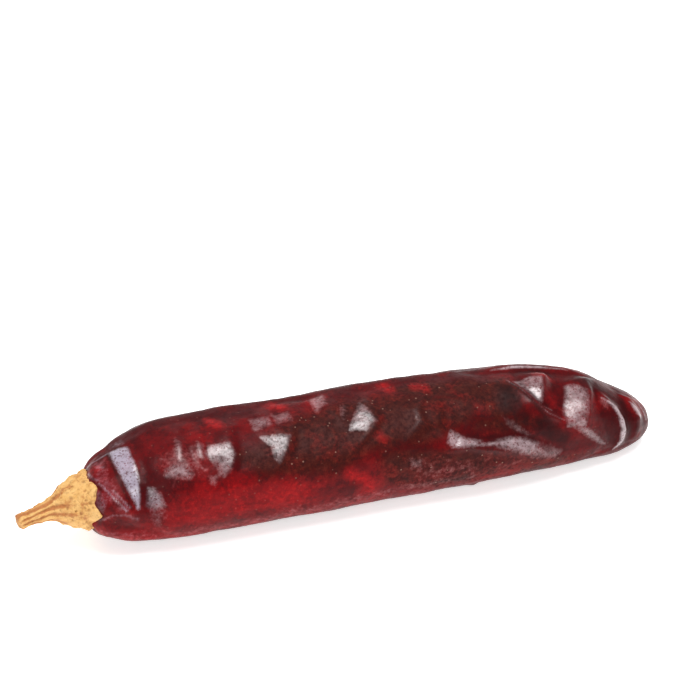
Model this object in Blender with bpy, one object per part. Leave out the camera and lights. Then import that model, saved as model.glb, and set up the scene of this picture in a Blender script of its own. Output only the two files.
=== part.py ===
"""A dried chilli pepper lying on its side, as a Blender model in metres with +Z up.

The pod is a long blown-up tube of leathery skin that shrank as it dried, so its wall has
sunk in wide dents and stands up in sharp folds between them. Its stalk end carries the dry
calyx, a scalloped woody cap that runs out into the cut stalk. The pod lies along X with its
tip at +X and rests on Z = 0.
"""

import math

import bmesh
import bpy
import numpy as np
from mathutils import Vector

MM = 0.001

# The pod's outline from the calyx to the tip, in mm. Each row is one cross-section: its place
# along the pod, its half depth (Y), its half height (Z) and its centre (Y and Z).
POD_SECTIONS = (
    (-4.4, 0.0, 0.0, -1.9, 10.3),
    (-4.3, 3.6, 3.4, -1.9, 10.3),
    (-4.0, 6.0, 5.5, -1.8, 10.3),
    (-3.2, 7.8, 7.1, -1.7, 10.3),
    (-2.0, 9.2, 8.1, -1.5, 10.4),
    (0.5, 10.9, 9.2, -1.1, 10.6),
    (5.0, 12.8, 10.6, -0.7, 11.1),
    (11.0, 14.3, 11.9, -0.3, 11.7),
    (24.0, 15.2, 12.5, 0.0, 12.0),
    (48.0, 15.2, 12.4, 0.2, 11.9),
    (72.0, 15.2, 12.6, 0.3, 12.1),
    (90.0, 14.8, 12.2, 0.3, 11.7),
    (104.0, 13.8, 11.7, 0.3, 11.2),
    (116.0, 11.9, 10.5, 0.1, 9.9),
    (126.0, 9.1, 7.9, -0.2, 7.6),
    (132.0, 5.9, 5.3, -0.4, 6.5),
    (134.8, 3.0, 2.7, -0.4, 6.1),
    (135.6, 0.0, 0.0, -0.4, 6.0),
)
POD_RINGS = 80
POD_SIDES = 64
SQUARENESS = 2.25
# How the rings are shared out: more of them at the shoulder and the tip, where the folds are.
RING_SHARES = (0.0, 0.3, 0.6, 1.0)
OUTLINE_SHARES = (0.0, 0.22, 0.65, 1.0)

# The folds that stand up where the skin doubled over, and the creases beside them (negative
# height). A path is (mm along the pod, degrees round it), where 0 degrees faces -Y and 90 is
# the top. Widths are to the left and right of the path, seen from outside.
FOLDS = (
    ("shoulder_crease", ((1.6, 100), (1.8, 76), (2.6, 52), (3.9, 24), (5.8, 2)), -1.5, 3.4, 2.8),
    ("shoulder_edge", ((5.2, 104), (5.9, 74), (6.1, 50), (6.3, 25), (7.6, 0)), 0.9, 2.8, 3.2),
    ("shoulder_valley", ((9.2, 66), (8.6, 38), (9.0, 8)), -0.6, 2.6, 2.6),
    ("shoulder_ridge", ((-0.6, 52), (0.7, 33), (2.7, 12), (4.8, -4)), 0.5, 2.6, 2.6),
    ("lower_lobe_crease", ((1.6, -6), (5.5, -14), (11.0, -22)), -0.6, 2.8, 3.0),
    (
        "slanting_fold",
        ((97.0, 84), (98.6, 72), (99.8, 55), (103.2, 31), (108.2, 12), (113, 0)),
        1.0,
        3.2,
        5.5,
    ),
    (
        "slanting_crease",
        ((100.5, 80), (102.0, 64), (103.8, 47), (107.4, 31), (111.5, 15), (116, 4)),
        -1.1,
        4.8,
        3.2,
    ),
    ("band_edge", ((112.2, 82), (111.2, 60), (110.2, 40), (111.0, 24)), 0.8, 4.5, 2.8),
    ("low_band", ((76, 42), (80, 33), (84, 23), (90, 14), (100, 11), (110, -6)), 0.9, 4.5, 4.0),
    (
        "tip_fold",
        ((119.0, 70), (120.6, 56), (123.2, 40), (124.5, 14), (123.4, -10), (120.5, -20)),
        1.0,
        2.8,
        3.4,
    ),
    ("tip_crease", ((123.6, 70), (126.6, 40), (127.8, 10), (126.6, -14)), -0.6, 2.6, 2.6),
    ("tip_second_fold", ((126.5, 66), (129.0, 40), (130.4, 14), (129.8, -4)), 0.5, 2.6, 2.6),
    ("low_front_edge", ((14, -38), (50, -42), (85, -36), (118, -30)), 0.6, 7.0, 5.0),
    ("top_back_edge", ((14, 108), (50, 106), (90, 104), (118, 98)), 0.7, 6.0, 8.0),
    ("back_fold", ((30, 168), (46, 190), (58, 205)), 1.2, 4.0, 3.4),
    ("back_crease", ((33, 160), (49, 182), (61, 196)), -0.9, 3.0, 5.0),
    ("back_long_fold", ((66, 176), (88, 168), (108, 182)), 1.0, 5.0, 4.0),
    ("top_short_fold", ((16, 120), (28, 136), (34, 158)), 0.8, 4.0, 3.4),
    ("back_shoulder_crease", ((1.5, 120), (3.0, 160), (1.8, 200)), -0.9, 3.4, 3.0),
    ("back_tip_fold", ((119, 120), (123, 160), (121, 205)), 0.8, 3.0, 3.0),
)

# Where the wall has sunk between the folds: place along and round the pod, the dent's length
# and width in mm, its turn from the pod's length in degrees, and its depth in mm.
DENTS = (
    (12.4, 62, 8, 13, 0, 0.7),
    (20.5, 64, 9, 14, 8, 0.8),
    (32.0, 54, 11, 17, -12, 0.9),
    (50.0, 60, 15, 14, 10, 0.8),
    (67.0, 62, 13, 15, -15, 0.8),
    (79.0, 58, 14, 13, 12, 0.7),
    (90.0, 66, 16, 12, -10, 0.9),
    (94.0, 34, 27, 12, -20, 1.5),
    (105.5, 66, 9, 13, -20, 1.0),
    (113.6, 46, 8, 14, 4, 1.2),
    (119.4, 22, 9, 16, 6, 1.2),
    (118.6, 78, 14, 10, 0, 0.7),
    (15.0, 18, 15, 9, 12, 0.7),
    (30.0, 16, 20, 9, 5, 0.5),
    (56.0, 24, 24, 10, -6, 0.6),
    (70.0, 4, 24, 10, 4, 0.5),
    (108.0, -20, 22, 8, -6, 0.8),
    (34.0, -24, 30, 9, 4, 0.5),
    (88.0, -14, 24, 9, 0, 0.6),
    (92.0, -52, 30, 10, 0, 0.7),
    (24.0, 92, 20, 13, 10, 1.0),
    (46.0, 92, 24, 12, -12, 0.9),
    (72.0, 92, 24, 12, 12, 0.9),
    (20.0, 150, 26, 16, -20, 1.8),
    (42.0, 135, 26, 14, 25, 1.3),
    (54.0, 170, 24, 15, 50, 1.6),
    (72.0, 140, 30, 15, -10, 1.6),
    (84.0, 190, 30, 15, 15, 1.7),
    (102.0, 150, 26, 15, -20, 1.5),
    (116.0, 175, 20, 14, 10, 1.3),
    (30.0, 205, 30, 13, 10, 1.2),
    (62.0, 222, 34, 12, -8, 1.0),
    (98.0, 218, 30, 12, 6, 1.0),
)
# The gathers under the calyx: how many run out, their depth in mm, and how far from the stalk's
# seat they are deepest and have gone.
PUCKERS = 7
PUCKER_DEPTH = 0.5
PUCKER_PEAK = 7.0
PUCKER_REACH = 12.0

# The woody cap and stalk, in mm. The outline runs from the cut end's centre to the cap's rim
# and back inside the pod: distance from the cut end along the stalk, and radius.
STALK_LENGTH = 16.6
STALK_SEAT = (-3.4, -1.8, 10.4)
STALK_OUTLINE = (
    (0.0, 0.0),
    (0.0, 1.1),
    (0.15, 1.6),
    (0.6, 1.8),
    (2.0, 1.85),
    (4.5, 2.2),
    (7.1, 2.55),
    (9.0, 3.4),
    (10.4, 4.3),
    (11.8, 4.9),
    (13.4, 5.4),
    (15.2, 5.8),
    (16.6, 5.9),
    (17.4, 5.4),
    (18.2, 4.0),
    (18.5, 2.2),
    (18.5, 0.0),
)
STALK_RINGS = 36
STALK_SIDES = 50
STALK_LEAN_Y = -2.4
STALK_LEAN_Z = -0.95
RIM_START = 11.0
RIM_TEETH = ((2, 1.2), (57, 0.7), (115, 1.0), (165, 0.6), (215, 0.9), (262, 0.6), (305, 0.8))
TOOTH_HALF_WIDTH = 17.0
# How far the rim spreads and runs down the shoulder for each mm of a tooth, and how far it draws
# back between the teeth.
RIM_SPREAD = 1.1
RIM_RUN = 0.9
SPREAD_BETWEEN_TEETH = 0.25
RUN_BETWEEN_TEETH = 0.3
# The ribs along the stalk, its three-sided section and its knobs, as shares of its radius.
STALK_RIBS = 6
RIB_SHARE = 0.07
THREE_SIDED_SHARE = 0.05
KNOB_SHARE = 0.035
SEAT_GAP = 0.3


def smooth_through(rows, shares):
    """Points on a smooth curve through the rows, at shares (0 to 1) of the curve's length."""
    rows = np.array(rows, float)
    steps = np.linalg.norm(np.diff(rows[:, :3], axis=0), axis=1)
    knots = np.concatenate([[0.0], np.cumsum(steps)])
    slopes = np.gradient(rows, knots, axis=0)
    at = np.clip(shares, 0.0, 1.0) * knots[-1]
    i = np.clip(np.searchsorted(knots, at, side="right") - 1, 0, len(knots) - 2)
    gap = (knots[i + 1] - knots[i])[:, None]
    t = (at[:, None] - knots[i][:, None]) / gap
    start, end = rows[i], rows[i + 1]
    leave, arrive = slopes[i] * gap, slopes[i + 1] * gap
    return (
        (2 * t**3 - 3 * t**2 + 1) * start
        + (t**3 - 2 * t**2 + t) * leave
        + (3 * t**2 - 2 * t**3) * end
        + (t**3 - t**2) * arrive
    )


def pod_skin(shares, angles):
    """Points of the pod's unwrinkled skin, in mm, at shares of its outline and angles in radians."""
    x, depth, height, y, z = smooth_through(POD_SECTIONS, shares).T
    power = 2.0 / SQUARENESS
    across = np.sign(np.cos(angles)) * np.abs(np.cos(angles)) ** power
    up = np.sign(np.sin(angles)) * np.abs(np.sin(angles)) ** power
    y = y - np.maximum(depth, 0) * across
    return np.stack([x, y, z + np.maximum(height, 0) * up], axis=1)


def share_at(along):
    """The share of the pod's outline at a place along the pod in mm."""
    shares = np.linspace(0.0, 1.0, 600)
    return np.interp(along, smooth_through(POD_SECTIONS, shares)[:, 0], shares)


def skin_at(along, degrees):
    """Points of the unwrinkled skin at places given in mm along the pod and degrees round it."""
    return pod_skin(share_at(np.array(along, float)), np.radians(np.array(degrees, float)))


def skin_normals(shares, angles):
    """Outward directions of the unwrinkled skin."""
    small = 1e-3
    ahead = pod_skin(np.minimum(shares + small, 1), angles)
    along = ahead - pod_skin(np.maximum(shares - small, 0), angles)
    round_it = pod_skin(shares, angles + small) - pod_skin(shares, angles - small)
    normals = np.cross(along, round_it)
    length = np.linalg.norm(normals, axis=1, keepdims=True)
    normals = normals / np.maximum(length, 1e-12)
    normals[shares < 2 * small] = (-1.0, 0.0, 0.0)
    normals[shares > 1 - 2 * small] = (1.0, 0.0, 0.0)
    return normals


def fold_relief(skin, normals, path, height, left, right):
    """How far one fold lifts each point: highest on its path, gone one width away."""
    steps = np.linspace(0, 1, 17)
    knots = np.linspace(0, 1, len(path))
    along = np.interp(steps, knots, [p[0] for p in path])
    degrees = np.interp(steps, knots, [p[1] for p in path])
    line = skin_at(along, degrees)
    nearest = np.full(len(skin), 1e9)
    side = np.zeros(len(skin))
    place = np.zeros(len(skin))
    for k, (start, end) in enumerate(zip(line[:-1], line[1:])):
        way = end - start
        t = np.clip((skin - start) @ way / (way @ way), 0, 1)
        off = skin - (start + t[:, None] * way)
        distance = np.linalg.norm(off, axis=1)
        closer = distance < nearest
        nearest[closer] = distance[closer]
        side[closer] = (np.cross(normals, way) * off).sum(axis=1)[closer]
        place[closer] = ((k + t) / (len(line) - 1))[closer]
    width = np.where(side > 0, left, right)
    fade = np.clip(np.minimum(place, 1 - place) * 5, 0, 1) ** 0.7
    return height * fade * np.clip(1 - (nearest / width) ** 2, 0, 1) ** 2


def dent_relief(skin, along, degrees, length, width, turn, depth):
    """How far one dent sinks each point: a shallow bowl with a sharp rim."""
    here, ahead, over = skin_at([along, along + 0.5, along], [degrees, degrees, degrees + 2.0])
    lengthways = (ahead - here) / np.linalg.norm(ahead - here)
    round_it = (over - here) - ((over - here) @ lengthways) * lengthways
    round_it /= np.linalg.norm(round_it)
    turned = math.radians(turn)
    main = math.cos(turned) * lengthways + math.sin(turned) * round_it
    cross = -math.sin(turned) * lengthways + math.cos(turned) * round_it
    off = skin - here
    through = np.cross(main, cross)
    reach = (
        (off @ main / (length / 2)) ** 2
        + (off @ cross / (width / 2)) ** 2
        + (off @ through / width) ** 2
    )
    return depth * np.clip(1 - reach, 0, 1)


def pucker_relief(skin, angles):
    """The gathers that run out from under the calyx."""
    centre = np.array(STALK_SEAT)
    off = np.linalg.norm(skin - centre, axis=1)
    gone = (off - PUCKER_PEAK) / (PUCKER_REACH - PUCKER_PEAK)
    strength = np.clip(off / PUCKER_PEAK, 0, 1) * np.clip(1 - gone, 0, 1)
    waves = np.cos(PUCKERS * angles + 0.8 * np.sin(2 * angles))
    return -PUCKER_DEPTH * strength * (0.5 + 0.5 * waves)


def dried_pod(ring_shares, angles, gap=0.0):
    """Points of the dried pod's surface in mm, grown outwards by gap, and flat where it rests."""
    shares = np.interp(ring_shares, RING_SHARES, OUTLINE_SHARES)
    skin = pod_skin(shares, angles)
    normals = skin_normals(shares, angles)
    sunk = np.zeros(len(skin))
    for dent in DENTS:
        sunk = np.maximum(sunk, dent_relief(skin, *dent))
    relief = gap - sunk + pucker_relief(skin, angles)
    for _, path, height, left, right in FOLDS:
        relief = relief + fold_relief(skin, normals, path, height, left, right)
    points = skin + normals * relief[:, None]
    points[:, 2] = np.maximum(points[:, 2], -gap)
    return points


def dried_stalk(shares, angles):
    """Points of the calyx and stalk in mm, in the pod's frame."""
    outline = smooth_through([(t, r, 0.0) for t, r in STALK_OUTLINE], shares)
    reach, radius = outline[:, 0], np.maximum(outline[:, 1], 0)
    degrees = np.degrees(angles) % 360
    teeth = np.zeros(len(shares))
    for at, size in RIM_TEETH:
        off = np.abs((degrees - at + 180) % 360 - 180) / TOOTH_HALF_WIDTH
        teeth = np.maximum(teeth, size * np.clip(1 - off, 0, 1) ** 0.8)
    rim = np.clip((reach - RIM_START) / (STALK_LENGTH - RIM_START), 0, 1) * (shares < 0.93)
    radius = radius + rim**2 * (teeth - SPREAD_BETWEEN_TEETH) * RIM_SPREAD
    reach = reach + rim**3 * (teeth - RUN_BETWEEN_TEETH) * RIM_RUN
    ribs = RIB_SHARE * np.cos(STALK_RIBS * angles + 0.5)
    ribs += THREE_SIDED_SHARE * np.cos(3 * angles + 1.9 + reach * 0.1)
    knobs = np.sin(reach * 1.9 + 5 * angles) * np.sin(reach * 0.9 - 3 * angles + 1.0)
    knobs = KNOB_SHARE * knobs
    radius = radius * (1 + ribs + knobs * np.clip(reach / 10, 0, 1))
    out = 1 - reach / STALK_LENGTH
    axis = np.stack(
        [
            STALK_SEAT[0] - STALK_LENGTH * out,
            STALK_SEAT[1] + STALK_LEAN_Y * out**2 * np.sign(out),
            STALK_SEAT[2] + STALK_LEAN_Z * out**2 * np.sign(out),
        ],
        axis=1,
    )
    slope = np.clip(out, 0, None)
    way = np.stack(
        [
            np.full(len(out), STALK_LENGTH),
            -2 * STALK_LEAN_Y * slope,
            -2 * STALK_LEAN_Z * slope,
        ],
        axis=1,
    )
    way /= np.linalg.norm(way, axis=1, keepdims=True)
    front = np.cross(way, np.array([0.0, 0.0, 1.0]))
    front /= np.linalg.norm(front, axis=1, keepdims=True)
    top = np.cross(front, way)
    return axis + radius[:, None] * (np.cos(angles)[:, None] * front + np.sin(angles)[:, None] * top)


def shaped_sphere(name, sides, rings, shape, collection):
    """A sphere primitive whose poles go to the ends of a shape and whose rings follow its outline."""
    bm = bmesh.new()
    bmesh.ops.create_uvsphere(bm, u_segments=sides, v_segments=rings, radius=1.0)
    ball = np.array([v.co for v in bm.verts])
    shares = 1 - np.arccos(np.clip(ball[:, 2], -1, 1)) / math.pi
    angles = math.pi - np.arctan2(ball[:, 1], ball[:, 0])
    for vert, point in zip(bm.verts, shape(shares, angles)):
        vert.co = Vector(point) * MM
    bmesh.ops.recalc_face_normals(bm, faces=bm.faces[:])
    bmesh.ops.triangulate(bm, faces=bm.faces[:], quad_method="SHORT_EDGE")
    mesh = bpy.data.meshes.new(name)
    bm.to_mesh(mesh)
    bm.free()
    mesh.shade_smooth()
    obj = bpy.data.objects.new(name, mesh)
    collection.objects.link(obj)
    return obj


def finish(name, colour, roughness):
    """A dry natural surface: one Principled material with its colour and roughness."""
    material = bpy.data.materials.new(name)
    material.use_nodes = True
    shader = material.node_tree.nodes["Principled BSDF"]
    shader.inputs["Base Color"].default_value = (*colour, 1.0)
    shader.inputs["Roughness"].default_value = roughness
    shader.inputs["Metallic"].default_value = 0.0
    return material


def build():
    for obj in list(bpy.data.objects):
        bpy.data.objects.remove(obj, do_unlink=True)
    pepper = bpy.data.collections.new("dried_chilli_pepper")
    cutters = bpy.data.collections.new("cutters")
    bpy.context.scene.collection.children.link(pepper)
    bpy.context.scene.collection.children.link(cutters)

    pod = shaped_sphere("pod", POD_SIDES, POD_RINGS, dried_pod, pepper)
    pod.data.materials.append(finish("dried_skin", (0.10, 0.008, 0.008), 0.35))

    stalk = shaped_sphere("calyx_stalk", STALK_SIDES, STALK_RINGS, dried_stalk, pepper)
    stalk.data.materials.append(finish("dry_wood", (0.62, 0.40, 0.18), 0.8))

    seat = shaped_sphere(
        "calyx_seat_cutter",
        POD_SIDES,
        POD_RINGS,
        lambda shares, angles: dried_pod(shares, angles, SEAT_GAP),
        cutters,
    )
    seat.hide_render = True
    seat.display_type = "WIRE"
    fit = stalk.modifiers.new("seat_on_pod", "BOOLEAN")
    fit.operation = "DIFFERENCE"
    fit.object = seat
    fit.solver = "EXACT"

    bpy.context.view_layer.update()
    middle = rest_middle((pod, stalk))
    frame = bpy.data.objects.new("pepper_frame", None)
    pepper.objects.link(frame)
    frame.location = -middle
    for piece in (pod, stalk, seat):
        piece.parent = frame


def rest_middle(pieces):
    """The middle of the pieces' box in X and Y, at the height they rest on."""
    graph = bpy.context.evaluated_depsgraph_get()
    corners = []
    for piece in pieces:
        mesh = piece.evaluated_get(graph).to_mesh()
        points = np.empty(len(mesh.vertices) * 3, np.float32)
        mesh.vertices.foreach_get("co", points)
        corners.append(points.reshape(-1, 3))
    points = np.concatenate(corners).astype(float)
    low, high = points.min(axis=0), points.max(axis=0)
    return Vector(((low[0] + high[0]) / 2, (low[1] + high[1]) / 2, low[2]))


build()
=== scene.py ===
"""A dried chilli pepper lying on a light table: the folded skin of its pod, and its dry calyx
with the cut stalk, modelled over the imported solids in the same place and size."""

import math
from functools import partial

import bpy
import numpy as np
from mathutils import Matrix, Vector
from mathutils.geometry import delaunay_2d_cdt


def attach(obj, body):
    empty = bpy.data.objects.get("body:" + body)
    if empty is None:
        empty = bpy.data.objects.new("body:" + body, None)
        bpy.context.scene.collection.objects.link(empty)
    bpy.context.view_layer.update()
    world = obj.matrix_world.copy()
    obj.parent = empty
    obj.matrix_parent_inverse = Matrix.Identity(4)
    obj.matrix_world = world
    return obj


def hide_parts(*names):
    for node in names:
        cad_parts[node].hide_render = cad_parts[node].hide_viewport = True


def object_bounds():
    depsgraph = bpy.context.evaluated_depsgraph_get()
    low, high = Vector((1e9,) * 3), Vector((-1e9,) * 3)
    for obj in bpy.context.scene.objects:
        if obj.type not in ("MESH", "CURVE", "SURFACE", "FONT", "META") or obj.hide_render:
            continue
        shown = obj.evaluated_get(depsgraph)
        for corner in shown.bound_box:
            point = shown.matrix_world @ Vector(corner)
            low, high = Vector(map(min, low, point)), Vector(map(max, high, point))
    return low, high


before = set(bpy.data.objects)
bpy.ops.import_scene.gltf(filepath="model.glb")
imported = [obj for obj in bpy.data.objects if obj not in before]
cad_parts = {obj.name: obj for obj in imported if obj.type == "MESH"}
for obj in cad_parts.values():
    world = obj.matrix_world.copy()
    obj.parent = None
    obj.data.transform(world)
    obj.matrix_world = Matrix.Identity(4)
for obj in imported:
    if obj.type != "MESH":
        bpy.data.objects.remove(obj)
CAD_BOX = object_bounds()

bl_info = {
    "name": "Dried Chilli Pepper",
    "version": (1, 0, 0),
    "blender": (4, 5, 0),
    "location": "View3D > Sidebar > Chilli",
    "description": "Models a dried chilli pepper, its calyx and stalk, and the table it lies on",
    "category": "Add Mesh",
}

MM = 0.001

# The point of the pod's own measures, in mm, that lies at the part's origin.
PART_ORIGIN = np.array([57.614, 0.7145, 0.0])

# The pod's outline from the calyx to the tip, in mm. Each row is one cross-section: its place
# along the pod, its half depth (Y), its half height (Z) and its centre (Y and Z).
POD_SECTIONS = (
    (-4.4, 0.0, 0.0, -1.9, 10.3),
    (-4.3, 3.6, 3.4, -1.9, 10.3),
    (-4.0, 6.0, 5.5, -1.8, 10.3),
    (-3.2, 7.8, 7.1, -1.7, 10.3),
    (-2.0, 9.2, 8.1, -1.5, 10.4),
    (0.5, 10.9, 9.2, -1.1, 10.6),
    (5.0, 12.8, 10.6, -0.7, 11.1),
    (11.0, 14.3, 11.9, -0.3, 11.7),
    (24.0, 15.2, 12.5, 0.0, 12.0),
    (48.0, 15.2, 12.4, 0.2, 11.9),
    (72.0, 15.2, 12.6, 0.3, 12.1),
    (90.0, 14.8, 12.2, 0.3, 11.7),
    (104.0, 13.8, 11.7, 0.3, 11.2),
    (116.0, 11.9, 10.5, 0.1, 9.9),
    (126.0, 9.1, 7.9, -0.2, 7.6),
    (132.0, 5.9, 5.3, -0.4, 6.5),
    (134.8, 3.0, 2.7, -0.4, 6.1),
    (135.6, 0.0, 0.0, -0.4, 6.0),
)

# A cross-section is an ellipse where this is 2, and boxier above it.
SQUARENESS = 2.25

# Folds of the back and underside, and the creases beside them (negative height). A path is (mm
# along the pod, degrees round it), where 0 degrees faces the viewer and 90 is the top. After it
# come the height and the widths to the left and right of it, seen from outside, all in mm.
FOLDS = (
    ("low front edge", ((14, -38), (50, -42), (85, -36), (118, -30)), 0.6, 6.0, 4.0),
    ("top back edge", ((14, 108), (50, 106), (90, 104), (118, 98)), 0.7, 5.0, 7.0),
    ("back fold", ((30, 168), (46, 190), (58, 205)), 1.2, 3.2, 2.2),
    ("back crease", ((33, 160), (49, 182), (61, 196)), -0.9, 2.2, 4.4),
    ("back long fold", ((66, 176), (88, 168), (108, 182)), 1.0, 4.2, 3.0),
    ("top short fold", ((16, 120), (28, 136), (34, 158)), 0.8, 3.2, 2.4),
    ("back shoulder crease", ((1.5, 120), (3.0, 160), (1.8, 200)), -0.9, 2.8, 2.2),
    ("back tip fold", ((119, 120), (123, 160), (121, 205)), 0.8, 2.4, 2.0),
)

# Where the wall of the back and underside has sunk: place along and round the pod, the dent's
# length and width in mm, its turn from the pod's length in degrees, and its depth in mm.
DENTS = (
    (92.0, -52, 30, 10, 0, 0.7),
    (20.0, 150, 26, 16, -20, 1.8),
    (42.0, 135, 26, 14, 25, 1.3),
    (54.0, 170, 24, 15, 50, 1.6),
    (72.0, 140, 30, 15, -10, 1.6),
    (84.0, 190, 30, 15, 15, 1.7),
    (102.0, 150, 26, 15, -20, 1.5),
    (116.0, 175, 20, 14, 10, 1.3),
    (30.0, 205, 30, 13, 10, 1.2),
    (62.0, 222, 34, 12, -8, 1.0),
    (98.0, 218, 30, 12, 6, 1.0),
)

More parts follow.
